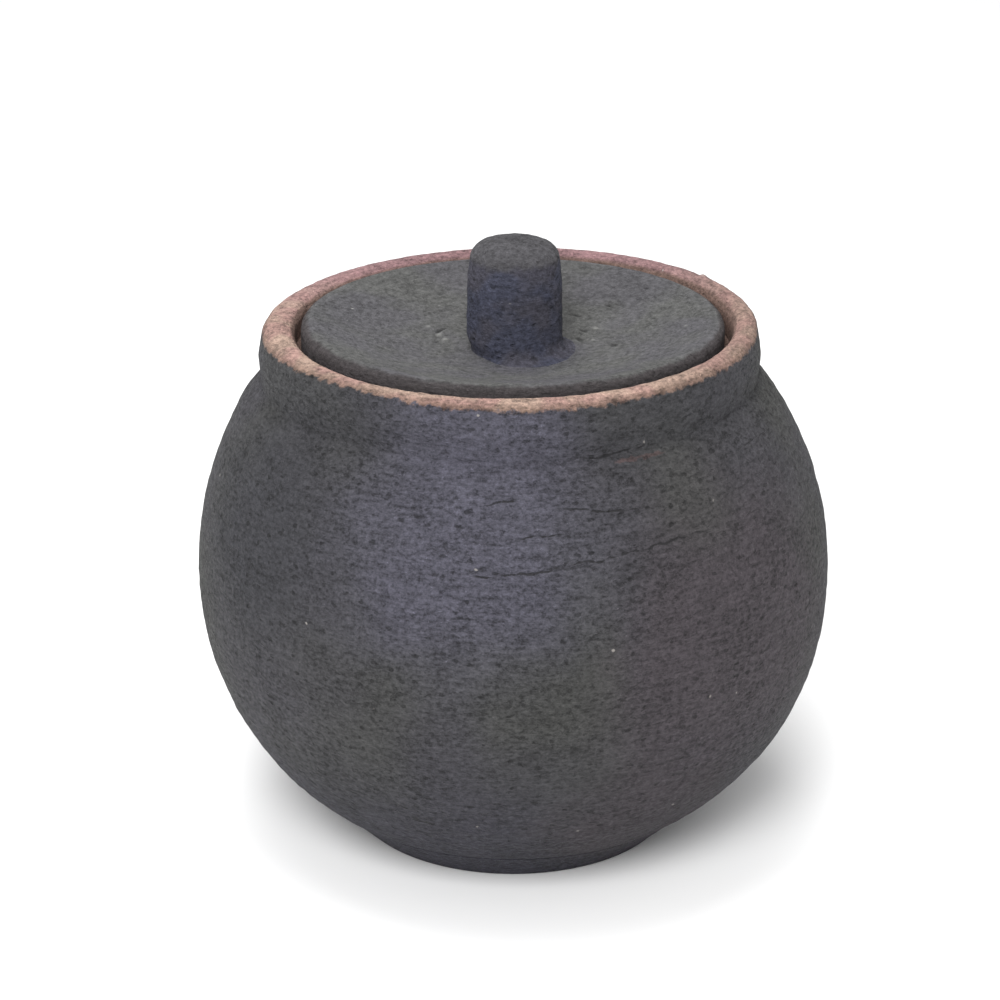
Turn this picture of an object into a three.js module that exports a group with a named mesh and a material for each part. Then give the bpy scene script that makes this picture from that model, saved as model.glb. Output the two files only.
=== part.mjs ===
// A hand-thrown stoneware bowl for go stones, with a drop-in lid.
//
// Millimetres, +Z up. The origin is the middle of the foot's underside, and Z is the axis that every
// piece was turned about. The bowl is a round body on a low foot, with an upright collar luted to its
// shoulder. A ledge inside the collar carries a dished lid, whose knob stands in the middle of the dish.

import * as THREE from "three";

// ---- Driving dimensions ----

const SEGMENTS = 64; // facets round every piece
const WALL_STEPS = 14; // facets up each side of the wall
const LIP_STEPS = 8;
const FACE_STEPS = 6;
const ROUND_STEPS = 4;

const FOOT_HEIGHT = 7.6; // up to the underside of the body
const FOOT_RADIUS = 33.2; // at the surface that the bowl stands on
const FOOT_HOLLOW_RADIUS = 25.5; // the recess inside the foot ring
const FOOT_EDGE = 0.8; // softened edge of the standing ring

const BELLY_RADIUS = 65; // the widest ring
const BELLY_LEVEL = 56; // height of the widest ring
const SHOULDER_LEVEL = 98.6; // where the collar is luted on
const WALL = 5.5; // thickness at the belly
const FLOOR_LEVEL = 12.5; // inside bottom

// Each half of the wall is a quarter of a superellipse: how far it would reach from the widest ring to
// the axis, and its power, which is 2 for a plain ellipse and more for a squarer turn.
const OUTSIDE = {
  upper: { reach: 65.9, power: 2 },
  lower: { reach: 58.9, power: 2.2 },
};
const INSIDE = {
  upper: { reach: 60.7, power: 2 },
  lower: { reach: BELLY_LEVEL - FLOOR_LEVEL, power: 2.6 },
};

const COLLAR_INNER = 44.2; // radius of the bore that the lid drops into
const COLLAR_OUTER = 50.4;
const COLLAR_ROOT = 1.2; // height over which it widens from the shoulder
const COLLAR_STRAIGHT = 103; // its outside begins to lean in towards the lip here
const RIM_LEVEL = 109; // crest of the lip
const LIP_ROUND = 2.78; // radius of the round lip

const SEAT_INNER = 38.5; // mouth radius inside the ledge
const SEAT_LEVEL = 102.6; // the lid rests here
const SEAT_UNDERSIDE = 97.6;
const CHAMFER = 0.9; // softened edges of the ledge and of the lid that rests on it

const LID_RADIUS = 42.7;
const LID_EDGE_LEVEL = 109.3; // top of the lid's raised edge
const LID_EDGE_ROUND = 2;
const LID_UNDERSIDE = 98; // lowest level of the lid's middle
const LID_FLAT_RADIUS = 20; // the flat middle of the underside
const PLUG_RADIUS = 37.3; // the part of the underside that hangs inside the ledge
const PLUG_LEVEL = 101.2; // height of the underside at that radius
const PLUG_POWER = 1.8; // how the underside steepens outside its flat middle
const DISH_LEVEL = 102.7; // the flat middle of the dish
const DISH_RADIUS = 12.5; // the flat that the knob stands on
const DISH_POWER = 1.5; // how the dish steepens towards the edge

const KNOB_RADIUS = 9.6;
const KNOB_SHOULDER_LEVEL = 116; // its straight side begins to turn in here
const KNOB_EDGE_LEVEL = 121.5; // the edge of its domed top
const KNOB_TOP_RADIUS = 9; // radius of that edge
const KNOB_TOP_LEVEL = 125.9;
const KNOB_DOME_POWER = 2.5; // the dome is a quarter of a superellipse of this power
const KNOB_FILLET = 2.6; // clay smoothed out round its foot

const CHARCOAL = 0x535259;
const LID_GREY = 0x6a6a6a;
const KNOB_GREY = 0x48485a;

// ---- Outlines, as points of radius and height ----

const point = (radius, height) => new THREE.Vector2(radius, height);

/** Points on a round, from one angle to another in degrees, both ends included. */
function arc(centreRadius, centreHeight, round, from, to, steps) {
  const points = [];
  for (let i = 0; i <= steps; i++) {
    const angle = THREE.MathUtils.degToRad(from + ((to - from) * i) / steps);
    points.push(point(centreRadius + round * Math.cos(angle), centreHeight + round * Math.sin(angle)));
  }
  return points;
}

/** Radius of a wall at a height, from its widest radius and the two halves of its outline. */
function wallRadius(height, widest, { upper, lower }) {
  const half = height > BELLY_LEVEL ? upper : lower;
  const share = Math.min(1, Math.abs(height - BELLY_LEVEL) / half.reach);
  return widest * (1 - share ** half.power) ** (1 / half.power);
}

/** Points of a wall between two heights. Even steps of angle crowd them where the wall turns in. */
function wallPoints(from, to, widest, outline) {
  const angleAt = (height) => {
    const half = height > BELLY_LEVEL ? outline.upper : outline.lower;
    return Math.asin(Math.max(-1, (height - BELLY_LEVEL) / half.reach));
  };
  const points = [];
  for (let i = 0; i <= WALL_STEPS; i++) {
    const angle = THREE.MathUtils.lerp(angleAt(from), angleAt(to), i / WALL_STEPS);
    const half = angle > 0 ? outline.upper : outline.lower;
    const height = BELLY_LEVEL + half.reach * Math.sin(angle);
    points.push(point(wallRadius(height, widest, outline), height));
  }
  return points;
}

/** Points of a face that is flat at a low level in its middle and curves up to a high level. */
function dished(flatRadius, low, outerRadius, high, power) {
  const points = [];
  for (let i = 0; i <= FACE_STEPS; i++) {
    const share = i / FACE_STEPS;
    const radius = THREE.MathUtils.lerp(flatRadius, outerRadius, share);
    points.push(point(radius, low + (high - low) * share ** power));
  }
  return points;
}

// ---- Solids ----

/** A solid turned about Z from an outline that runs anticlockwise, seen with radius to the right. */
function turned(name, outline, color, roughness) {
  const geometry = new THREE.LatheGeometry(outline, SEGMENTS);
  geometry.rotateX(Math.PI / 2);
  const mesh = new THREE.Mesh(geometry, new THREE.MeshStandardMaterial({ color, roughness, metalness: 0 }));
  mesh.name = name;
  return mesh;
}

/** An outline that ends where it starts, for a ring. */
const closed = (outline) => [...outline, outline[0].clone()];

function bowlBody() {
  const outside = wallPoints(FOOT_HEIGHT, SHOULDER_LEVEL, BELLY_RADIUS, OUTSIDE);
  const inside = wallPoints(SHOULDER_LEVEL, FLOOR_LEVEL, BELLY_RADIUS - WALL, INSIDE);
  inside[inside.length - 1].x = 0;
  return turned("bowl_body", [point(0, FOOT_HEIGHT), ...outside, ...inside], CHARCOAL, 0.9);
}

function footRing() {
  const outline = [
    point(FOOT_HOLLOW_RADIUS + FOOT_EDGE, 0),
    point(FOOT_RADIUS - FOOT_EDGE, 0),
    point(FOOT_RADIUS, FOOT_EDGE),
    point(wallRadius(FOOT_HEIGHT, BELLY_RADIUS, OUTSIDE), FOOT_HEIGHT),
    point(FOOT_HOLLOW_RADIUS - FOOT_EDGE, FOOT_HEIGHT),
    point(FOOT_HOLLOW_RADIUS, FOOT_EDGE),
  ];
  return turned("foot_ring", closed(outline), CHARCOAL, 0.9);
}

function collar() {
  const lipLevel = RIM_LEVEL - LIP_ROUND;
  const outline = [
    point(COLLAR_INNER, SHOULDER_LEVEL),
    point(wallRadius(SHOULDER_LEVEL, BELLY_RADIUS, OUTSIDE), SHOULDER_LEVEL),
    point(COLLAR_OUTER, SHOULDER_LEVEL + COLLAR_ROOT),
    point(COLLAR_OUTER, COLLAR_STRAIGHT),
    ...arc(COLLAR_INNER + LIP_ROUND, lipLevel, LIP_ROUND, 0, 180, LIP_STEPS),
  ];
  return turned("collar", closed(outline), CHARCOAL, 0.9);
}

function lidSeat() {
  const outline = [
    point(SEAT_INNER + CHAMFER, SEAT_UNDERSIDE),
    point(wallRadius(SHOULDER_LEVEL, BELLY_RADIUS - WALL, INSIDE), SHOULDER_LEVEL),
    point(COLLAR_INNER, SHOULDER_LEVEL),
    point(COLLAR_INNER, SEAT_LEVEL),
    point(SEAT_INNER + CHAMFER, SEAT_LEVEL),
    point(SEAT_INNER, SEAT_LEVEL - CHAMFER),
    point(SEAT_INNER, SEAT_UNDERSIDE + CHAMFER),
  ];
  return turned("lid_seat", closed(outline), CHARCOAL, 0.9);
}

function lidDisc() {
  const edge = LID_RADIUS - LID_EDGE_ROUND;
  const underside = dished(LID_FLAT_RADIUS, LID_UNDERSIDE, PLUG_RADIUS, PLUG_LEVEL, PLUG_POWER);
  const upperFace = dished(DISH_RADIUS, DISH_LEVEL, edge, LID_EDGE_LEVEL, DISH_POWER).reverse();
  const outline = [
    point(0, LID_UNDERSIDE),
    ...underside,
    point(SEAT_INNER, SEAT_LEVEL),
    point(LID_RADIUS - CHAMFER, SEAT_LEVEL),
    point(LID_RADIUS, SEAT_LEVEL + CHAMFER),
    ...arc(edge, LID_EDGE_LEVEL - LID_EDGE_ROUND, LID_EDGE_ROUND, 0, 90, ROUND_STEPS).slice(0, -1),
    ...upperFace,
    point(0, DISH_LEVEL),
  ];
  return turned("lid_disc", outline, LID_GREY, 0.9);
}

function lidKnob() {
  const shoulder = [];
  const dome = [];
  for (let i = 0; i < ROUND_STEPS; i++) {
    const share = i / ROUND_STEPS;
    const level = THREE.MathUtils.lerp(KNOB_SHOULDER_LEVEL, KNOB_EDGE_LEVEL, share);
    shoulder.push(point(KNOB_RADIUS - (KNOB_RADIUS - KNOB_TOP_RADIUS) * share ** 2, level));
  }
  for (let i = 0; i < FACE_STEPS; i++) {
    const angle = (i / FACE_STEPS) * (Math.PI / 2);
    const rise = (KNOB_TOP_LEVEL - KNOB_EDGE_LEVEL) * Math.sin(angle) ** (2 / KNOB_DOME_POWER);
    dome.push(point(KNOB_TOP_RADIUS * Math.cos(angle) ** (2 / KNOB_DOME_POWER), KNOB_EDGE_LEVEL + rise));
  }
  const outline = [
    point(0, DISH_LEVEL),
    ...arc(KNOB_RADIUS + KNOB_FILLET, DISH_LEVEL + KNOB_FILLET, KNOB_FILLET, 270, 180, ROUND_STEPS),
    ...shoulder,
    ...dome,
    point(0, KNOB_TOP_LEVEL),
  ];
  return turned("lid_knob", outline, KNOB_GREY, 0.9);
}

// ---- The object: the bowl stands still, and the lid lifts off ----

const bowl = new THREE.Group();
bowl.add(bowlBody(), footRing(), collar(), lidSeat());

const lid = new THREE.Group();
lid.add(lidDisc(), lidKnob());

const stoneBowl = new THREE.Group();
stoneBowl.add(bowl, lid);

export default stoneBowl;
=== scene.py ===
"""A lidded stoneware bowl for go stones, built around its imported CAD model.

Each clay piece is turned about Z from an outline with the CAD's sizes. They come from its nodes' boxes,
and the ones that no box gives are repeated here. The piece is then given the relief of hand-thrown
coarse clay: wobble, throwing ridges, grog, pits and gouges. Shapes are worked out in millimetres, and
become metres as each mesh is made.
"""

import itertools
import math

import bmesh
import bpy
import numpy as np
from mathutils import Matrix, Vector


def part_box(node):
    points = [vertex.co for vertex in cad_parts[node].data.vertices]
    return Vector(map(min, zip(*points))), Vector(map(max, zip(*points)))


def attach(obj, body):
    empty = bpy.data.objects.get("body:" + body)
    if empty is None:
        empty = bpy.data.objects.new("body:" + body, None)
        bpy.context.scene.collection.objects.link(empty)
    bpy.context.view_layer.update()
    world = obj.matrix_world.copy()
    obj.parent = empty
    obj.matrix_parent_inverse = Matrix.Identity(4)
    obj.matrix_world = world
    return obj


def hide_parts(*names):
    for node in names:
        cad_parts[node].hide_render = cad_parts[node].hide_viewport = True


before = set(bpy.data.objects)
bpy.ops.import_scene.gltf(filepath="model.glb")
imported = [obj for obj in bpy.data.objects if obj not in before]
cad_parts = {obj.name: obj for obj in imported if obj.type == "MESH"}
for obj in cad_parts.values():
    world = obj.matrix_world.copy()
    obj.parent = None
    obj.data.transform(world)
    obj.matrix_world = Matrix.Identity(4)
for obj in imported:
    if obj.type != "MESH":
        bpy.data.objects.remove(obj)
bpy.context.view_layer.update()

MM = 0.001


def box_mm(node):
    """Lowest and highest corners of a CAD node, in millimetres."""
    low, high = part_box(node)
    return low / MM, high / MM


# ---- Sizes, in millimetres ----

FOOT_LOW, FOOT_HIGH = box_mm("foot_ring")
BODY_LOW, BODY_HIGH = box_mm("bowl_body")
COLLAR_LOW, COLLAR_HIGH = box_mm("collar")
SEAT_LOW, SEAT_HIGH = box_mm("lid_seat")
DISC_LOW, DISC_HIGH = box_mm("lid_disc")
KNOB_LOW, KNOB_HIGH = box_mm("lid_knob")

FOOT_LEVEL = FOOT_HIGH.z  # underside of the body
FOOT_TOP_RADIUS = FOOT_HIGH.x
FOOT_BASE_RADIUS = 33.2
FOOT_HOLLOW_RADIUS = 25.5

BELLY_RADIUS = BODY_HIGH.x
BELLY_LEVEL = 56.0
SHOULDER_LEVEL = BODY_HIGH.z
WALL = 5.5
FLOOR_LEVEL = 12.5

# Each half of a wall is a quarter of a superellipse, given as its reach from the belly to the axis and
# its power.
OUTSIDE = {"upper": (65.9, 2.0), "lower": (58.9, 2.2)}
INSIDE = {"upper": (60.7, 2.0), "lower": (BELLY_LEVEL - FLOOR_LEVEL, 2.6)}

RIM_LEVEL = COLLAR_HIGH.z
COLLAR_OUTER = COLLAR_HIGH.x
COLLAR_INNER = SEAT_HIGH.x
LIP_ROUND = 2.78
COLLAR_OFFSET = -0.6  # the outside of the collar is thrown this far off centre, along X
COLLAR_SPREAD = 0.3  # and it is a little wider at the lip
RIM_TILT = 0.013  # rise of the rim for each millimetre along X
BARE_LEVEL = 107.3  # the lip is bare clay above this

SEAT_LEVEL = SEAT_HIGH.z
SEAT_INNER = 38.5

LID_RADIUS = DISC_HIGH.x
LID_EDGE_LEVEL = DISC_HIGH.z
LID_UNDERSIDE = DISC_LOW.z
LID_EDGE_ROUND = 2.0
DISH_LEVEL = KNOB_LOW.z
DISH_RADIUS = 12.5
DISH_POWER = 1.5
LID_WARP = 0.013  # rise of the lid's face for each millimetre towards the front

KNOB_RADIUS = 9.6
KNOB_TOP_RADIUS = 9.0
KNOB_TOP_LEVEL = KNOB_HIGH.z
KNOB_EDGE_LEVEL = KNOB_TOP_LEVEL - 4.4
KNOB_SHOULDER_LEVEL = KNOB_TOP_LEVEL - 9.9
KNOB_DOME_POWER = 2.5
KNOB_FILLET = 2.6
KNOB_OFFSET = 0.3  # the knob is set this far off centre, along X
SMEAR_TURN = 20  # its foot is smeared out over the lid most of all this many degrees clockwise of +X

LUTE = 0.5  # how far luted pieces sink into each other
TEXTURE_TURN = 12.0  # radius that patterns running round a piece are wrapped on, whatever its own radius

BODY_COLUMNS = 480  # facets round the body
COLLAR_COLUMNS = 640

# ---- Randomness ----

TABLE = 64
LATTICE = np.random.default_rng(7).uniform(-1, 1, (TABLE, TABLE, TABLE))
DICE = np.random.default_rng(21)


def lumps(places, size, shift=0.0):
    """Smooth random heights from -1 to 1, in lumps of that size: one length, or one for each axis."""
    cells = places / np.asarray(size, float) + shift
    low = np.floor(cells).astype(int)
    part = cells - low
    ease = part * part * (3 - 2 * part)
    total = np.zeros(places.shape[:-1])
    for corner in itertools.product((0, 1), repeat=3):
        weight = np.ones(total.shape)
        for axis, side in enumerate(corner):
            weight *= ease[..., axis] if side else 1 - ease[..., axis]
        cell = tuple((low[..., axis] + side) % TABLE for axis, side in enumerate(corner))
        total += weight * LATTICE[cell]
    return total


def ramp(value, low, high):
    """0 below low and 1 above high, with a smooth turn between them. low may be the larger."""
    share = np.clip((np.asarray(value, float) - low) / (high - low), 0, 1)
    return share * share * (3 - 2 * share)


# ---- Outlines: rows of radius and height, anticlockwise with radius to the right ----


def arc(centre, round_radius, start, end, steps=24):
    """Points on a round, between two angles in degrees."""
    angles = np.radians(np.linspace(start, end, steps + 1))
    radii = centre[0] + round_radius * np.cos(angles)
    levels = centre[1] + round_radius * np.sin(angles)
    return np.stack([radii, levels], 1)


def wall_radius(height, widest, outline):
    reach, power = outline["upper"] if height > BELLY_LEVEL else outline["lower"]
    share = min(1.0, abs(height - BELLY_LEVEL) / reach)
    return widest * (1 - share**power) ** (1 / power)


def wall(start, end, widest, outline):
    """A dense line of the wall between two heights, crowded where it nears the axis."""
    angles = []
    for height in (start, end):
        reach = outline["upper" if height > BELLY_LEVEL else "lower"][0]
        angles.append(math.asin(max(-1.0, (height - BELLY_LEVEL) / reach)))
    points = []
    for angle in np.linspace(*angles, 400):
        height = BELLY_LEVEL + outline["upper" if angle > 0 else "lower"][0] * math.sin(angle)
        points.append((wall_radius(height, widest, outline), height))
    return np.array(points)


def dish_height(radius):
    share = np.clip((radius - DISH_RADIUS) / (LID_RADIUS - LID_EDGE_ROUND - DISH_RADIUS), 0, 1)
    return DISH_LEVEL + (LID_EDGE_LEVEL - DISH_LEVEL) * share**DISH_POWER


def even(line, spacing):
    """The same line with evenly spaced points."""
    line = np.asarray(line, float)
    run = np.concatenate([[0], np.cumsum(np.hypot(*np.diff(line, axis=0).T))])
    steps = max(1, round(run[-1] / spacing))
    at = np.linspace(0, run[-1], steps + 1)
    return np.stack([np.interp(at, run, line[:, 0]), np.interp(at, run, line[:, 1])], 1)


def joined(*lines):
    """One outline from lines that each start where the last one ended."""
    rows = [lines[0]]
    for line in lines[1:]:
        rows.append(line[1:])
    return np.vstack(rows)


def softened(outline, passes, closed):
    """Rounds the outline's corners a little more with each pass."""
    for _ in range(passes):
        middle = (np.roll(outline, 1, 0) + 2 * outline + np.roll(outline, -1, 0)) / 4
        if not closed:
            middle[0], middle[-1] = outline[0], outline[-1]
        outline = middle
    return outline


# ---- Turned pieces ----


class Turning:
    """An outline swept round Z on a grid, one row for each point of the outline, that takes relief."""

    def __init__(self, outline, columns, closed):
        self.closed = closed
        self.radius, self.level = outline[:, 0], outline[:, 1]
        self.angles = np.linspace(0, 2 * math.pi, columns, endpoint=False)
        self.along = np.concatenate([[0], np.cumsum(np.hypot(*np.diff(outline, axis=0).T))])
        if closed:
            slope = np.roll(outline, -1, 0) - np.roll(outline, 1, 0)
        else:
            slope = np.gradient(outline, axis=0)
        slope /= np.maximum(np.linalg.norm(slope, axis=1, keepdims=True), 1e-9)
        self.normal = np.stack([slope[:, 1], -slope[:, 0]], 1)
        cos, sin = np.cos(self.angles), np.sin(self.angles)
        level = np.repeat(self.level[:, None], columns, 1)
        self.places = np.stack([self.radius[:, None] * cos, self.radius[:, None] * sin, level], -1)
        run = np.repeat(self.along[:, None], columns, 1)
        round_turn = [np.broadcast_to(TEXTURE_TURN * side, run.shape) for side in (cos, sin)]
        self.ring = np.stack([*round_turn, run], -1)
        self.height = np.zeros(level.shape)
        self.shift = np.zeros(self.places.shape)
        self.layers = {"along": run, "mark": np.zeros(level.shape)}

    def thrown(self, wobble=0.3, ridges=0.1, marks=0.05, grog=0.05):
        """The unevenness of a thrown wall, from the largest to the smallest."""
        self.height += wobble * lumps(self.places, 45)
        self.height += ridges * lumps(self.ring, (9, 9, 5.5), 3.3)
        self.height += marks * lumps(self.ring, (4, 4, 1.7), 11.7)
        self.height += grog * lumps(self.places, 1.9, 23.1)

    def row_at(self, radius, level):
        return int(np.argmin(np.hypot(self.radius - radius, self.level - level)))

    def dent(self, angle, row, length, width, depth):
        """Presses an oval dent, or raises a crumb where depth is negative. The angle is in degrees."""
        turn = np.degrees(self.angles) - angle
        around = np.radians((turn + 180) % 360 - 180)[None, :] * np.maximum(self.radius, 1)[:, None]
        up = (self.along - self.along[row])[:, None]
        press = depth * np.exp(-((around / length) ** 2) - (up / width) ** 2)
        self.height -= press
        self.layers["mark"] += press

    def scatter(self, count, draw_row, length, width, depth):
        """Presses dents at random angles, on drawn rows. Each size is drawn between two limits."""
        for _ in range(count):
            row = draw_row()
            angle = DICE.uniform(0, 360)
            self.dent(angle, row, DICE.uniform(*length), DICE.uniform(*width), DICE.uniform(*depth))

    def made(self, name):
        """The mesh object, in metres."""
        cos, sin = np.cos(self.angles), np.sin(self.angles)
        across = self.normal[:, 0][:, None] * self.height
        places = self.places + self.shift
        places[..., 0] += across * cos
        places[..., 1] += across * sin
        places[..., 2] += self.normal[:, 1][:, None] * self.height
        rows, columns = self.height.shape
        index = np.arange(rows * columns).reshape(rows, columns)
        if self.closed:
            low, high = index, np.roll(index, -1, 0)
        else:
            places[0] = places[0].mean(0)
            places[-1] = places[-1].mean(0)
            low, high = index[:-1], index[1:]
        quads = np.stack([low, np.roll(low, -1, 1), np.roll(high, -1, 1), high], -1).reshape(-1, 4)
        mesh = bpy.data.meshes.new(name)
        mesh.from_pydata((places.reshape(-1, 3) * MM).tolist(), [], quads.tolist())
        for layer, values in self.layers.items():
            attribute = mesh.attributes.new(layer, "FLOAT", "POINT")
            attribute.data.foreach_set("value", values.astype(np.float32).ravel())
        piece = bpy.data.objects.new(name, mesh)
        bpy.context.scene.collection.objects.link(piece)
        if not self.closed:
            weld_poles(mesh, columns, rows)
        mesh.shade_smooth()
        return piece


def weld_poles(mesh, columns, rows):
    """Joins the first row's vertices into one, and the last row's, where an outline meets the axis."""
    work = bmesh.new()
    work.from_mesh(mesh)
    work.verts.ensure_lookup_table()
    last = (rows - 1) * columns
    targets = {}
    for start in (0, last):
        for step in range(1, columns):
            targets[work.verts[start + step]] = work.verts[start]
    bmesh.ops.weld_verts(work, targetmap=targets)
    work.to_mesh(mesh)
    work.free()


def repeated(layer, columns):
    return np.repeat(np.asarray(layer, float)[:, None], columns, 1)


# ---- Shader building ----


class Clay:
    """One material's nodes. Lengths are in millimetres, and places are in the piece's own frame."""

    def __init__(self, name):
        self.material = bpy.data.materials.new(name)
        self.material.use_nodes = True
        self.tree = self.material.node_tree
        self.tree.nodes.clear()
        self.output = self.add("OutputMaterial")
        self.shader = self.add("BsdfPrincipled")
        self.tree.links.new(self.shader.outputs[0], self.output.inputs["Surface"])
        coordinates = self.add("TexCoord").outputs["Object"]
        self.place = self.vector("SCALE", coordinates, scale=1 / MM)

    def add(self, kind, inputs=None, **settings):
        """A node, with each named or numbered input set to a value or linked from a socket."""
        node = self.tree.nodes.new("ShaderNode" + kind)
        for key, value in settings.items():
            setattr(node, key, value)
        for key, value in (inputs or {}).items():
            if isinstance(value, bpy.types.NodeSocket):
                self.tree.links.new(value, node.inputs[key])
            else:
                node.inputs[key].default_value = value
        return node

    def vector(self, operation, a, b=None, scale=None):
        inputs = {0: a}
        if b is not None:
            inputs[1] = b
        if scale is not None:
            inputs["Scale"] = scale
        node = self.add("VectorMath", inputs, operation=operation)
        return node.outputs["Value" if operation in ("LENGTH", "DISTANCE") else "Vector"]

    def math(self, operation, a, b=0.0, c=0.0):
        return self.add("Math", {0: a, 1: b, 2: c}, operation=operation).outputs[0]

    def ramp(self, value, low, high, start=0.0, end=1.0):
        inputs = {"Value": value, "From Min": low, "From Max": high, "To Min": start, "To Max": end}
        node = self.add("MapRange", inputs, interpolation_type="SMOOTHSTEP")
        return node.outputs[0]

    def noise(self, place, size, detail=2.0, roughness=0.5):
        inputs = {"Vector": place, "Scale": 1 / size, "Detail": detail, "Roughness": roughness}
        return self.add("TexNoise", inputs).outputs[0]

    def cells(self, place, size):
        """How far the middle of the nearest random cell is, in cell sizes, and a random share for it."""
        node = self.add("TexVoronoi", {"Vector": place, "Scale": 1 / size})
        chance = self.add("SeparateColor", {0: node.outputs["Color"]}).outputs[0]
        return node.outputs["Distance"], chance

    def jitter(self, size, amount):
        """A random push of each place, to make round shapes uneven."""
        push = self.add("TexNoise", {"Vector": self.place, "Scale": 1 / size}).outputs["Color"]
        return self.vector("SCALE", self.vector("SUBTRACT", push, (0.5, 0.5, 0.5)), scale=2 * amount)

    def layer(self, name):
        return self.add("Attribute", attribute_name=name).outputs["Fac"]

    def blend(self, share, a, b):
        node = self.add("Mix", {0: share, 6: a, 7: b}, data_type="RGBA")
        return node.outputs[2]

    def parts(self):
        split = self.add("SeparateXYZ", {0: self.place})
        return split.outputs[0], split.outputs[1], split.outputs[2]

    def turn(self):
        """The angle round Z in degrees, from -180 to 180, with the jump at -X."""
        x, y, _ = self.parts()
        return self.math("DEGREES", self.math("ARCTAN2", y, x))

    def ring(self):
        """Places wrapped round Z at one radius, with the run along the outline as their third axis."""
        x, y, _ = self.parts()
        flat = self.add("CombineXYZ", {0: x, 1: y}).outputs[0]
        unit = self.vector("SCALE", self.vector("NORMALIZE", flat), scale=TEXTURE_TURN)
        upward = self.add("CombineXYZ", {2: self.layer("along")}).outputs[0]
        return self.vector("ADD", unit, upward)

    def patch(self, centre, radius, edge=0.6):
        """1 near a place and 0 beyond a radius of it, with an uneven edge."""
        reach = self.vector("DISTANCE", self.place, Vector(centre))
        noise = self.noise(self.place, radius * 0.45)
        uneven = self.math("MULTIPLY_ADD", noise, radius * 0.5, -radius * 0.25)
        return self.ramp(self.math("ADD", reach, uneven), radius, radius * (1 - edge))

    def crack(self, start, end, bow, width):
        """1 along a fine crack between two points of (degrees, height), and 0 off it."""
        _, _, level = self.parts()
        share = self.add(
            "MapRange", {"Value": self.turn(), "From Min": start[0], "From Max": end[0]}, clamp=True
        ).outputs[0]
        hump = self.math("MULTIPLY", share, self.math("SUBTRACT", 1.0, share))
        line = self.math("MULTIPLY_ADD", share, end[1] - start[1], start[1])
        line = self.math("MULTIPLY_ADD", hump, 4 * bow, line)
        wander = self.math("MULTIPLY_ADD", self.noise(self.place, 3.0, 3.0), 1.6, -0.8)
        gap = self.math("ABSOLUTE", self.math("SUBTRACT", level, self.math("ADD", line, wander)))
        taper = self.math("SQRT", self.math("MULTIPLY", hump, 4.0))
        uneven = self.ramp(self.noise(self.place, 2.0), 0.35, 0.6, 0.3, 1.0)
        reach = self.math("MULTIPLY", self.math("MULTIPLY", taper, uneven), width)
        line = self.ramp(self.math("SUBTRACT", gap, reach), 0.1, -0.1)
        return self.math("MULTIPLY", line, self.ramp(reach, 0.0, 0.2))

    def most(self, masks):
        total = masks[0]
        for mask in masks[1:]:
            total = self.math("MAXIMUM", total, mask)
        return total

    def total(self, terms):
        """The sum of (value, weight) pairs."""
        value, weight = terms[0]
        total = self.math("MULTIPLY", value, weight)
        for value, weight in terms[1:]:
            total = self.math("MULTIPLY_ADD", value, weight, total)
        return total


def linear(red, green, blue):
    """A colour given as 8-bit screen values, as the shader needs it."""
    channels = []
    for value in (red, green, blue):
        share = value / 255
        channels.append(share / 12.92 if share <= 0.04045 else ((share + 0.055) / 1.055) ** 2.4)
    return (*channels, 1.0)


def speckles(clay, squat, pitted):
    """Masks of ragged pits, round holes, light crumbs and pale grains of grog."""
    crowding = clay.ramp(clay.noise(clay.place, 13.0, 1.0), 0.35, 0.65, -0.06, 0.05)
    pits = clay.ramp(clay.math("ADD", clay.noise(squat, 1.5, 3.0, 0.6), crowding), 0.6, 0.67)
    distance, chance = clay.cells(clay.vector("ADD", squat, clay.jitter(1.0, 0.8)), 2.6)
    holes = clay.math("MULTIPLY", clay.ramp(distance, 0.3, 0.16), clay.ramp(chance, 0.6, 0.62))
    crumbs = clay.ramp(clay.noise(clay.vector("ADD", squat, (31.0, 7.0, 3.0)), 0.9, 2.0), 0.66, 0.74)
    distance, chance = clay.cells(clay.vector("ADD", clay.place, clay.jitter(1.2, 0.5)), 6.5)
    grog = clay.math("MULTIPLY", clay.ramp(distance, 0.06, 0.03), clay.ramp(chance, 0.7, 0.72))
    return clay.math("MULTIPLY", pits, pitted), clay.math("MULTIPLY", holes, pitted), crumbs, grog


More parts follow.
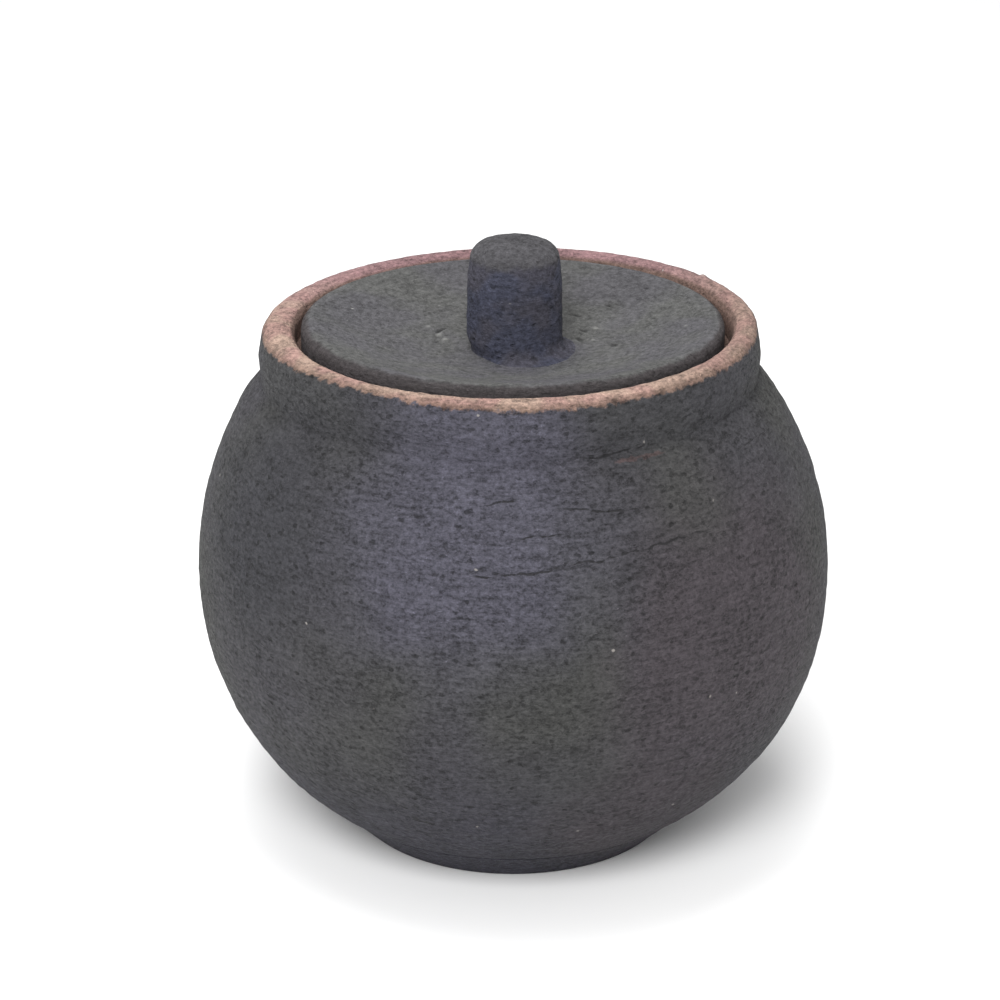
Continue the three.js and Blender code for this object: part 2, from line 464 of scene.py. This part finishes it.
def finish_clay(clay, colour, coarse=1.2, cracks=(), pitted=1.0, pale=(160, 155, 150)):
    """Coarse unglazed clay over a large-scale colour: grain, turning streaks, specks and cracks, with
    painted shade in its hollows and painted light on its raised places.
    """
    squat = clay.vector("MULTIPLY", clay.place, (1.0, 1.0, 1.6))
    grain = clay.noise(squat, 1.1, 4.0, 0.7)
    fine = clay.noise(clay.place, 0.35, 2.0, 0.6)
    streak = clay.noise(clay.vector("MULTIPLY", clay.ring(), (0.6, 0.6, 1.0)), 1.0, 4.0, 0.65)
    mottle = clay.noise(clay.place, 8.0, 4.0, 0.6)
    pits, holes, crumbs, grog = speckles(clay, squat, pitted)
    mark = clay.layer("mark")

    # Each noise is 0.5 on average, so the brightness is 1 on average.
    # The brightness follows the same noises as the bump: partly the clay's own speckle, partly painted
    # shade in low places and painted light on high ones.
    grit_and_relief_shade = clay.total([(grain, 2.0), (fine, 0.8), (streak, 1.0)])
    grit_and_relief_shade = clay.math("MULTIPLY", clay.math("SUBTRACT", grit_and_relief_shade, 1.9), coarse)
    brightness = clay.math("MULTIPLY_ADD", mottle, 0.5, clay.math("ADD", grit_and_relief_shade, 0.75))
    colour = clay.vector("SCALE", colour, scale=clay.math("MAXIMUM", brightness, 0.3))

    # Pits, holes and dents are darkened: partly dark specks in the clay, partly painted shade in these
    # hollows.
    dark = clay.most(
        [
            clay.math("MULTIPLY", pits, 0.5),
            clay.math("MULTIPLY", holes, 0.8),
            clay.ramp(mark, 0.04, 0.35, 0.0, 0.9),
        ]
    )
    colour = clay.blend(dark, colour, clay.vector("SCALE", colour, scale=0.35))
    # Raised crumbs are lightened: partly pale clay, partly a painted highlight on these high places.
    bright = clay.vector("SCALE", colour, scale=1.9)
    colour = clay.blend(clay.math("MULTIPLY", crumbs, 0.7), colour, bright)
    # The lips raised beside dents are paled: partly pale clay, partly a painted highlight on them.
    raised = clay.ramp(mark, -0.08, -0.4, 0.0, 0.3)
    light = clay.math("MAXIMUM", clay.math("MULTIPLY", grog, 0.6), raised)
    colour = clay.blend(light, colour, linear(*pale))

    relief = clay.math("MULTIPLY", clay.total([(grain, 0.5), (fine, 0.1), (streak, 0.42)]), coarse)
    height = [(relief, 1.0), (pits, -0.4), (holes, -0.5), (crumbs, 0.25), (grog, 0.08)]
    if cracks:
        split = clay.most([clay.crack(*crack) for crack in cracks])
        colour = clay.blend(clay.math("MULTIPLY", split, 0.85), colour, linear(*CRACK_DARK))
        height.append((split, -0.4))
    bump = clay.add("Bump", {"Height": clay.total(height), "Distance": MM, "Strength": 1.0})

    links = clay.tree.links
    links.new(colour, clay.shader.inputs["Base Color"])
    links.new(bump.outputs[0], clay.shader.inputs["Normal"])
    links.new(clay.ramp(grain, 0.3, 0.75, 0.85, 0.6), clay.shader.inputs["Roughness"])
    clay.shader.inputs["Diffuse Roughness"].default_value = 1.0
    clay.shader.inputs["Specular IOR Level"].default_value = 0.3
    return clay.material


# ---- Materials ----

# Colours of the clay, as 8-bit screen values. Some of them also carry painted light or shade, as said
# where they are used.
CHARCOAL = (54, 53, 57)
BLUE_GREY = (67, 66, 76)
MAUVE = (58, 53, 57)
MAUVE_DARK = (53, 47, 51)
OLIVE = (55, 55, 54)
DEEP_GREY = (46, 46, 50)
# Painted shade for the lower body, not a colour of the clay itself.
FOOT_PAINTED_SHADE = (41, 40, 50)
BROWN = (104, 84, 76)
TAN = (98, 78, 68)
BEIGE = (149, 127, 114)
PINK = (146, 117, 109)
ROSE = (130, 101, 103)
RUST = (84, 64, 62)
CRACK_DARK = (24, 23, 25)
SEAT_BROWN = (96, 78, 70)
LID_GREY = (78, 78, 77)
LID_MAUVE = (74, 73, 76)
# Darker clay of the lid's edge, partly painted shade in the gap.
LID_EDGE = (56, 52, 53)
LID_UNDER = (84, 76, 72)
KNOB_BLUE = (55, 57, 71)
KNOB_GREY = (57, 56, 65)
# Painted top light for the knob's dome.
KNOB_PAINTED_TOP_LIGHT = (66, 65, 68)

# Fine cracks in the wall, as (degrees, height) of both ends, bow and width. The first ten can be seen
# from the front.
WALL_CRACKS = [
    ((-98, 78.2), (-80, 79.7), -0.3, 0.3),
    ((-86, 79.2), (-50, 82.2), 0.3, 0.26),
    ((-96, 90.4), (-88, 90.8), 0.3, 0.2),
    ((-82, 90.0), (-63, 88.2), -0.3, 0.22),
    ((-90, 84.8), (-80, 85.4), 0.0, 0.22),
    ((-158, 85.6), (-143, 85.4), -0.3, 0.14),
    ((-79, 97.2), (-55, 98.0), 0.1, 0.2),
    ((-40, 97.6), (-28, 98.2), 0.1, 0.16),
    ((-35, 92.9), (-22, 92.3), 0.2, 0.16),
    ((-111, 22.4), (-106, 21.8), 0.0, 0.3),
    ((20, 74.0), (52, 77.5), 0.5, 0.16),
    ((95, 86.0), (118, 85.0), -0.4, 0.2),
    ((140, 50.0), (160, 51.5), 0.3, 0.16),
]


def charcoal_colour(clay):
    """Charcoal clay that drifts between blue-grey, mauve and olive, with a painted highlight high on the
    front and painted shade that darkens it towards the foot.
    """
    drift = clay.ramp(clay.noise(clay.place, 38.0, 1.0), 0.4, 0.62)
    colour = clay.blend(drift, linear(*CHARCOAL), linear(*OLIVE))
    colour = clay.blend(clay.patch((46, -46, 56), 44), colour, linear(*MAUVE))
    colour = clay.blend(clay.patch((-52, -36, 78), 34, 0.8), colour, linear(*DEEP_GREY))
    # Painted highlight: a lighter blue-grey patch high on the front, where the body faces the key light.
    colour = clay.blend(clay.patch((-10, -60, 82), 38, 0.8), colour, linear(*BLUE_GREY))
    colour = clay.blend(clay.patch((-30, 55, 70), 50), colour, linear(*BLUE_GREY))
    _, _, level = clay.parts()
    neck = clay.ramp(level, SHOULDER_LEVEL - 3, SHOULDER_LEVEL, 0.0, 0.45)
    colour = clay.blend(neck, colour, linear(*DEEP_GREY))
    colour = clay.blend(clay.patch((-6, -50, 105), 26, 0.8), colour, linear(*BLUE_GREY))
    streak = clay.math("MULTIPLY", clay.crack((-68, 96.1), (-55, 96.6), 0.0, 0.5), 0.45)
    colour = clay.blend(streak, colour, linear(*RUST))
    # Painted shade: the clay is darkened towards the foot, where less light reaches the body.
    colour = clay.blend(clay.ramp(level, 50.0, 0.0), colour, linear(*FOOT_PAINTED_SHADE))
    low_right = clay.math("MULTIPLY", clay.patch((26, -42, 20), 30), 0.7)
    return clay.blend(low_right, colour, linear(*MAUVE_DARK))


def bare_colour(clay):
    """Bare clay of the lip and the inside: beige, pink and rose on the crest, and browner off it."""
    x, y, level = clay.parts()
    change = clay.noise(clay.place, 9.0, 2.0)
    colour = clay.blend(clay.ramp(change, 0.42, 0.58), linear(*BEIGE), linear(*PINK))
    colour = clay.blend(clay.ramp(y, -5.0, 42.0), colour, linear(*ROSE))
    colour = clay.blend(clay.ramp(x, 18.0, 50.0, 0.0, 0.35), colour, linear(*BROWN))
    # The bare clay turns browner and darker towards the outer edge of the bare band, over a ragged width.
    ragged_edge = clay.math("MULTIPLY_ADD", clay.noise(clay.place, 2.5, 2.0), 1.6, 1.4)
    outer_edge = clay.math("SUBTRACT", 1.0, clay.math("DIVIDE", clay.layer("bare"), ragged_edge))
    colour = clay.blend(clay.ramp(outer_edge, 0.0, 1.0, 0.0, 0.75), colour, linear(*TAN))
    # Inside the collar the clay is brown and darker: partly the bare clay's colour, partly painted shade
    # inside the bowl.
    inward = clay.vector("LENGTH", clay.vector("MULTIPLY", clay.place, (1.0, 1.0, 0.0)))
    inner_edge = clay.ramp(inward, COLLAR_INNER + 1.1, COLLAR_INNER + 0.3)
    inside = clay.math("MAXIMUM", inner_edge, clay.ramp(level, 104.5, 101.0))
    return clay.blend(inside, colour, linear(*BROWN))


def wall_grain(clay):
    """How coarse the wall is: most of all high on its front."""
    return clay.math("MULTIPLY_ADD", clay.patch((-8, -55, 84), 48, 0.8), 0.3, 1.2)


def wall_material():
    """Charcoal outside and brown inside. The bare layer is the distance past the edge between them."""
    clay = Clay("charcoal_stoneware")
    edge = clay.math("MULTIPLY_ADD", clay.noise(clay.place, 1.8, 4.0, 0.65), 3.2, -1.6)
    bare = clay.ramp(clay.math("ADD", clay.layer("bare"), edge), -0.3, 0.35)
    colour = clay.blend(bare, charcoal_colour(clay), bare_colour(clay))
    pitted = clay.math("MULTIPLY_ADD", bare, -0.6, 1.0)
    return finish_clay(clay, colour, coarse=wall_grain(clay), cracks=WALL_CRACKS, pitted=pitted)


def foot_material():
    clay = Clay("foot_stoneware")
    return finish_clay(clay, charcoal_colour(clay))


def seat_material():
    clay = Clay("seat_stoneware")
    # Brown and dark like the inside: partly the bare clay's colour, partly painted shade in the gap under
    # the lid.
    colour = clay.blend(clay.noise(clay.place, 6.0, 3.0), linear(*BROWN), linear(*SEAT_BROWN))
    return finish_clay(clay, colour)


def disc_material():
    """Lighter grey face with a darker edge, partly the clay's colour and partly painted shade where the
    edge sits down in the gap.
    """
    clay = Clay("lid_stoneware")
    drift = clay.ramp(clay.noise(clay.place, 16.0, 2.0), 0.4, 0.65)
    colour = clay.blend(drift, linear(*LID_GREY), linear(*LID_MAUVE))
    inward = clay.vector("LENGTH", clay.vector("MULTIPLY", clay.place, (1.0, 1.0, 0.0)))
    uneven = clay.math("MULTIPLY_ADD", clay.noise(clay.place, 3.0, 3.0), 1.4, -0.7)
    edge = clay.ramp(clay.math("ADD", inward, uneven), LID_RADIUS - 1.7, LID_RADIUS - 0.6)
    _, _, level = clay.parts()
    below = clay.ramp(level, SEAT_LEVEL - 0.5, SEAT_LEVEL - 1.5)
    # A darker, knob-grey patch round the knob's foot: partly clay smeared from the knob, partly a painted
    # shadow of the knob.
    smear_and_shadow = clay.math("MULTIPLY", clay.patch((4.0, -5.0, DISH_LEVEL), 14.0, 0.5), 0.4)
    colour = clay.blend(smear_and_shadow, colour, linear(*KNOB_GREY))
    # The darker edge band: partly darker clay, partly painted shade where light from above misses the edge
    # in the gap.
    colour = clay.blend(edge, colour, linear(*LID_EDGE))
    colour = clay.blend(below, colour, linear(*LID_UNDER))
    return finish_clay(clay, colour, coarse=1.0, pitted=0.4, pale=(176, 176, 172))


def knob_material():
    clay = Clay("knob_stoneware")
    _, _, level = clay.parts()
    uneven = clay.math("MULTIPLY_ADD", clay.noise(clay.place, 2.5, 3.0), 3.0, -1.5)
    # Painted top light: the knob's dome, which faces the light, is given a lighter, greyer colour than its
    # sides.
    ragged_edge = clay.math("ADD", level, uneven)
    top = clay.ramp(ragged_edge, KNOB_EDGE_LEVEL - 0.5, KNOB_EDGE_LEVEL + 1.5)
    drift = clay.ramp(clay.noise(clay.place, 8.0), 0.4, 0.6)
    colour = clay.blend(drift, linear(*KNOB_BLUE), linear(*KNOB_GREY))
    colour = clay.blend(top, colour, linear(*KNOB_PAINTED_TOP_LIGHT))
    return finish_clay(clay, colour, pitted=0.6)


# ---- Pieces ----


def body_piece():
    """The thrown wall and floor, from the foot to the shoulder."""
    outside = even(wall(FOOT_LEVEL, SHOULDER_LEVEL, BELLY_RADIUS, OUTSIDE), 0.7)
    inside = even(wall(SHOULDER_LEVEL, FLOOR_LEVEL, BELLY_RADIUS - WALL, INSIDE), 4.0)
    underside = even([(0, FOOT_LEVEL), outside[0]], 4.0)
    crown = even([outside[-1], inside[0]], 1.2)
    outline = joined(underside, outside, crown, inside)
    outline[-1, 0] = 0
    turning = Turning(softened(outline, 1, closed=False), BODY_COLUMNS, closed=False)
    turning.thrown(marks=0.08, grog=0.09)
    turning.height += 0.05 * lumps(turning.places, 1.4, 5.3)
    outer_rows = (len(underside), len(underside) + len(outside) - 1)
    turning.scatter(170, lambda: DICE.integers(*outer_rows), (0.9, 1.8), (0.7, 1.1), (0.1, 0.3))
    crease = turning.row_at(wall_radius(SHOULDER_LEVEL, BELLY_RADIUS, OUTSIDE), SHOULDER_LEVEL)
    away = turning.along[crease] - turning.along
    groove = 0.15 * np.exp(-((away - 1.2) ** 2) / 5) * (away > -1)
    turning.height -= groove[:, None]
    # The lower left side is a little flatter than the right.
    west = ramp(-turning.places[..., 0], 10, 60)
    low = np.exp(-(((turning.places[..., 2] - 28) / 20) ** 2))
    turning.height -= 0.7 * west * low * (turning.radius > FOOT_TOP_RADIUS)[:, None]
    # The left shoulder stands out in a soft corner below the collar.
    band = np.exp(-(((turning.places[..., 2] - 90.5) / 3.2) ** 2))
    corner = band * ramp(-turning.places[..., 0], 30, 52)
    turning.height[slice(*outer_rows)] += 0.4 * corner[slice(*outer_rows)]
    # The relief fades out where the body meets the foot.
    turning.height *= ramp(turning.level, FOOT_LEVEL - 0.5, FOOT_LEVEL + 4)[:, None]
    turning.layers["bare"] = repeated(turning.along - turning.along[crease] - 2, BODY_COLUMNS)
    return turning.made("bowl_body_clay")


def foot_piece():
    """The low foot ring that the bowl stands on."""
    base, hollow = FOOT_BASE_RADIUS, FOOT_HOLLOW_RADIUS
    outline = joined(
        even([(hollow - 0.8, FOOT_LEVEL + LUTE), (hollow, 0.8)], 0.6),
        even([(hollow, 0.8), (hollow + 0.8, 0)], 0.6),
        even([(hollow + 0.8, 0), (base - 0.8, 0)], 0.6),
        even([(base - 0.8, 0), (base, 0.8)], 0.5),
        even([(base, 0.8), (FOOT_TOP_RADIUS, FOOT_LEVEL)], 0.5),
        even([(FOOT_TOP_RADIUS, FOOT_LEVEL), (FOOT_TOP_RADIUS - 1, FOOT_LEVEL + LUTE)], 0.5),
        even([(FOOT_TOP_RADIUS - 1, FOOT_LEVEL + LUTE), (hollow - 0.8, FOOT_LEVEL + LUTE)], 1.0),
    )[:-1]
    turning = Turning(softened(outline, 1, closed=True), 420, closed=True)
    turning.thrown(wobble=0.15, ridges=0.05)
    # The relief fades out at the standing ring and where the foot meets the body.
    fade = ramp(turning.level, 0, 1.2) * ramp(turning.level, FOOT_LEVEL, FOOT_LEVEL - 2)
    turning.height *= fade[:, None]
    return turning.made("foot_ring_clay")


def collar_piece():
    """The neck and its round lip, which is thicker on the left because its outside is off centre."""
    lip_level = RIM_LEVEL - LIP_ROUND
    lip_centre = COLLAR_INNER + LIP_ROUND
    root = SHOULDER_LEVEL - 3.5
    outline = joined(
        even([(COLLAR_INNER, SHOULDER_LEVEL - LUTE), (COLLAR_INNER + 1.2, root)], 1.0),
        even([(COLLAR_INNER + 1.2, root), (COLLAR_OUTER - 1.2, root)], 1.0),
        even([(COLLAR_OUTER - 1.2, root), (COLLAR_OUTER - 0.2, SHOULDER_LEVEL - 2)], 0.5),
        even([(COLLAR_OUTER - 0.2, SHOULDER_LEVEL - 2), (COLLAR_OUTER, SHOULDER_LEVEL + 4)], 0.35),
        even([(COLLAR_OUTER, SHOULDER_LEVEL + 4), (lip_centre + LIP_ROUND, lip_level)], 0.35),
        even(arc((lip_centre, lip_level), LIP_ROUND, 0, 180), 0.35),
        even([(COLLAR_INNER, lip_level), (COLLAR_INNER, SHOULDER_LEVEL - LUTE)], 0.5),
    )[:-1]
    outline = softened(outline, 2, closed=True)
    turning = Turning(outline, COLLAR_COLUMNS, closed=True)
    turning.thrown(wobble=0.25, ridges=0.06, marks=0.04, grog=0.06)
    turning.height += 0.06 * lumps(turning.places, 1.1, 5.3)
    inner = (turning.radius < COLLAR_INNER + 0.5) & (turning.level < lip_level)
    turning.height *= np.where(inner, 0.4, 1.0)[:, None]
    outward = ramp(turning.radius, COLLAR_INNER + 0.8, COLLAR_OUTER - 1)
    spread = COLLAR_SPREAD * outward * ramp(turning.level, SHOULDER_LEVEL, SHOULDER_LEVEL + 4)
    turning.shift[..., 0] += COLLAR_OFFSET * outward[:, None] + spread[:, None] * np.cos(turning.angles)
    turning.shift[..., 1] += spread[:, None] * np.sin(turning.angles)
    rising = ramp(turning.level, SHOULDER_LEVEL, lip_level)[:, None]
    turning.shift[..., 2] += RIM_TILT * turning.places[..., 0] * rising
    edge = turning.row_at(lip_centre + LIP_ROUND * 0.9, BARE_LEVEL)
    turning.scatter(46, lambda: edge + DICE.integers(-3, 3), (0.6, 1.6), (0.35, 0.6), (0.1, 0.35))
    turning.scatter(60, lambda: DICE.integers(edge - 26, edge + 18), (0.5, 1.2), (0.4, 0.8), (-0.12, 0.25))
    crest = turning.row_at(lip_centre, RIM_LEVEL)
    turning.dent(33, crest - 2, 0.9, 0.8, -0.5)
    turning.dent(36, crest - 3, 0.7, 0.6, 0.4)
    turn = (np.degrees(turning.angles) + 128 + 180) % 360 - 180
    # The dark clay reaches a little higher at the front left.
    raised = 1.4 * np.exp(-((turn / 24) ** 2))
    turning.layers["bare"] = repeated(turning.along - turning.along[edge], COLLAR_COLUMNS) - raised
    return turning.made("collar_clay")


def seat_piece():
    """The ledge inside the collar that carries the lid."""
    body_edge = wall_radius(SHOULDER_LEVEL, BELLY_RADIUS - WALL, INSIDE)
    low = SEAT_LOW.z
    corners = [
        (COLLAR_INNER + LUTE, SHOULDER_LEVEL - LUTE),
        (COLLAR_INNER + LUTE, SEAT_LEVEL),
        (SEAT_INNER + 0.8, SEAT_LEVEL),
        (SEAT_INNER, SEAT_LEVEL - 0.8),
        (SEAT_INNER, low + 1),
        (SEAT_INNER + 0.9, low),
        (body_edge - 0.6, low + 0.3),
        (body_edge, SHOULDER_LEVEL - LUTE),
    ]
    lines = [even([start, end], 0.6) for start, end in zip(corners, corners[1:] + corners[:1])]
    turning = Turning(softened(joined(*lines)[:-1], 1, closed=True), 400, closed=True)
    turning.thrown(wobble=0.05, ridges=0.04, marks=0.03, grog=0.03)
    return turning.made("lid_seat_clay")


def disc_piece():
    """The dished disc of the lid, with drag marks round the knob."""
    edge = LID_RADIUS - LID_EDGE_ROUND
    face = np.linspace(edge, 0, 200)
    outline = joined(
        even([(0, LID_UNDERSIDE), (20, LID_UNDERSIDE)], 2.2),
        even([(20, LID_UNDERSIDE), (29, LID_UNDERSIDE + 1), (SEAT_INNER - 1.2, SEAT_LEVEL - 1.4)], 1.2),
        even([(SEAT_INNER - 1.2, SEAT_LEVEL - 1.4), (SEAT_INNER - 0.2, SEAT_LEVEL)], 0.6),
        even([(SEAT_INNER - 0.2, SEAT_LEVEL), (LID_RADIUS - 0.9, SEAT_LEVEL)], 0.8),
        even([(LID_RADIUS - 0.9, SEAT_LEVEL), (LID_RADIUS, SEAT_LEVEL + 0.9)], 0.4),
        even([(LID_RADIUS, SEAT_LEVEL + 0.9), (LID_RADIUS, LID_EDGE_LEVEL - LID_EDGE_ROUND)], 0.5),
        even(arc((edge, LID_EDGE_LEVEL - LID_EDGE_ROUND), LID_EDGE_ROUND, 0, 90), 0.4),
        even(np.stack([face, dish_height(face)], 1), 0.36),
    )
    turning = Turning(softened(outline, 1, closed=False), 560, closed=False)
    turning.thrown(wobble=0.18, ridges=0.05, marks=0.04, grog=0.05)
    face_rows = turning.level > SEAT_LEVEL + 0.05
    turning.height *= np.where(face_rows, 1.0, 0.3)[:, None]
    warp = -LID_WARP * turning.places[..., 1]
    turning.shift[..., 2] += warp * ramp(turning.level, SEAT_LEVEL, LID_EDGE_LEVEL - 2)[:, None]
    # Drag marks left by the finger that smoothed the knob's foot: degrees, radius, length, width, depth.
    gouges = [
        (147.5, 17.7, 1.6, 0.5, 0.7),
        (168, 15.8, 1.0, 0.6, 0.4),
        (54, 21.5, 1.6, 0.5, 0.5),
        (34, 17.2, 1.1, 0.6, 0.6),
        (22, 14.4, 1.7, 0.6, 0.6),
        (-1, 20.0, 0.9, 0.9, 0.5),
        (-20, 24.0, 1.8, 0.5, 0.3),
        (44, 28.0, 2.2, 0.5, 0.3),
        (41, 36.5, 0.8, 0.5, 0.45),
        (120, 30.0, 1.5, 0.5, 0.25),
        (-120, 26.0, 1.2, 0.5, 0.25),
        (-160, 33.0, 1.4, 0.5, 0.2),
    ]
    for angle, radius, length, width, depth in gouges:
        row = turning.row_at(radius, dish_height(radius))
        turning.dent(angle, row, length, width, depth)
        turning.dent(angle, row + 2, length, width, -0.4 * depth)
    # Crumbs of clay left beside them: degrees, radius, size.
    crumbs = [
        (163, 14.6, 1.2),
        (157, 16.6, 1.0),
        (150, 20.2, 0.8),
        (30, 19.4, 0.9),
        (12, 16.6, 0.8),
        (0, 34.9, 0.7),
    ]
    for angle, radius, size in crumbs:
        turning.dent(angle, turning.row_at(radius, dish_height(radius)), 1.3 * size, 0.8 * size, -0.3)

    def face_row():
        radius = edge * math.sqrt(DICE.uniform(0.1, 1))
        return turning.row_at(radius, dish_height(radius))

    turning.scatter(130, face_row, (0.4, 1.0), (0.3, 0.5), (-0.08, 0.2))
    return turning.made("lid_disc_clay")


def knob_piece():
    """The knob, with clay smeared out round its foot, most of all at the front right."""
    dome = np.linspace(0, math.pi / 2, 80)
    rise = KNOB_TOP_LEVEL - KNOB_EDGE_LEVEL
    inward = np.clip(np.cos(dome), 0, 1) ** (2 / KNOB_DOME_POWER)
    upward = np.sin(dome) ** (2 / KNOB_DOME_POWER)
    top = np.stack([KNOB_TOP_RADIUS * inward, KNOB_EDGE_LEVEL + rise * upward], 1)
    top[-1, 0] = 0
    foot = DISH_LEVEL - LUTE
    turn = np.linspace(0, 1, 12)
    shoulder_radius = KNOB_RADIUS - (KNOB_RADIUS - KNOB_TOP_RADIUS) * turn**2
    shoulder_level = KNOB_SHOULDER_LEVEL + (KNOB_EDGE_LEVEL - KNOB_SHOULDER_LEVEL) * turn
    side = [(KNOB_RADIUS, DISH_LEVEL + KNOB_FILLET), *zip(shoulder_radius, shoulder_level)]
    outline = joined(
        even([(0, foot), (KNOB_RADIUS + KNOB_FILLET, foot)], 1.2),
        even([(KNOB_RADIUS + KNOB_FILLET, foot), (KNOB_RADIUS + KNOB_FILLET, DISH_LEVEL)], 0.25),
        even(arc((KNOB_RADIUS + KNOB_FILLET, DISH_LEVEL + KNOB_FILLET), KNOB_FILLET, 270, 180), 0.25),
        even(side, 0.28),
        even(top, 0.28),
    )
    turning = Turning(softened(outline, 3, closed=False), 300, closed=False)
    turning.thrown(wobble=0.1, ridges=0.06, marks=0.08, grog=0.06)
    turning.height += 0.05 * lumps(turning.places, 0.9, 8.1) + 0.12 * lumps(turning.places, 5.0, 2.2)
    fillet = np.maximum(turning.radius - KNOB_RADIUS, 0)
    away = np.abs((np.degrees(turning.angles) + SMEAR_TURN + 180) % 360 - 180)
    spread = 0.2 - 1.1 * ramp(away, 40, 120)
    low = ramp(turning.level, DISH_LEVEL + 3.5, DISH_LEVEL)
    tuck = ramp(away, 60, 120)[None, :] * low[:, None]
    outward = fillet[:, None] * spread[None, :] - tuck * ramp(turning.radius, 4, KNOB_RADIUS)[:, None]
    turning.shift[..., 0] += outward * np.cos(turning.angles) + KNOB_OFFSET
    turning.shift[..., 1] += outward * np.sin(turning.angles)
    rows = (turning.row_at(KNOB_RADIUS, DISH_LEVEL + 3), len(turning.along) - 4)
    turning.scatter(60, lambda: DICE.integers(*rows), (0.3, 0.8), (0.25, 0.45), (-0.05, 0.18))
    return turning.made("lid_knob_clay")


# ---- The scene ----


def floor():
    mesh = bpy.data.meshes.new("floor")
    side = 6.0
    corners = [(-side, -side, 0), (side, -side, 0), (side, side, 0), (-side, side, 0)]
    mesh.from_pydata(corners, [], [(0, 1, 2, 3)])
    ground = bpy.data.objects.new("floor", mesh)
    bpy.context.scene.collection.objects.link(ground)
    material = bpy.data.materials.new("floor")
    material.use_nodes = True
    shader = material.node_tree.nodes["Principled BSDF"]
    shader.inputs["Base Color"].default_value = (0.95, 0.95, 0.95, 1)
    shader.inputs["Roughness"].default_value = 0.9
    shader.inputs["Specular IOR Level"].default_value = 0.1
    mesh.materials.append(material)


def area_light(name, place, target, size, power):
    light = bpy.data.lights.new(name, "AREA")
    light.size = size
    light.energy = power
    lamp = bpy.data.objects.new(name, light)
    lamp.location = place
    lamp.rotation_euler = (Vector(target) - Vector(place)).to_track_quat("-Z", "Y").to_euler()
    bpy.context.scene.collection.objects.link(lamp)


def lights():
    world = bpy.data.worlds.new("studio")
    world.use_nodes = True
    background = world.node_tree.nodes["Background"]
    background.inputs["Color"].default_value = (1, 1, 1, 1)
    background.inputs["Strength"].default_value = 0.6
    bpy.context.scene.world = world
    middle = (0, 0, 0.06)
    area_light("key", (-0.14, -0.9, 0.75), middle, 0.5, 13.0)
    area_light("top", (-0.1, 0.1, 1.2), middle, 0.7, 8.0)


def camera():
    """Looks down at the object from the front, at about 22 degrees, from 0.74 m away."""
    data = bpy.data.cameras.new("camera")
    data.sensor_width = 36.0
    data.lens = 128.0
    view = bpy.data.objects.new("camera", data)
    place = Vector((0.0, -0.6799, 0.3408))
    target = Vector((-0.0027, 0.006, 0.0672))
    view.location = place
    view.rotation_euler = (target - place).to_track_quat("-Z", "Y").to_euler()
    bpy.context.scene.collection.objects.link(view)
    bpy.context.scene.camera = view


def add_piece(piece, node, body, material):
    piece.data.materials.append(material)
    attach(piece, body)
    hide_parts(node)


def main():
    bpy.context.scene.view_settings.view_transform = "Standard"
    camera()
    lights()
    floor()
    clay = wall_material()
    add_piece(body_piece(), "bowl_body", "bowl", clay)
    add_piece(collar_piece(), "collar", "bowl", clay)
    add_piece(foot_piece(), "foot_ring", "bowl", foot_material())
    add_piece(seat_piece(), "lid_seat", "bowl", seat_material())
    add_piece(disc_piece(), "lid_disc", "lid", disc_material())
    add_piece(knob_piece(), "lid_knob", "lid", knob_material())


main()
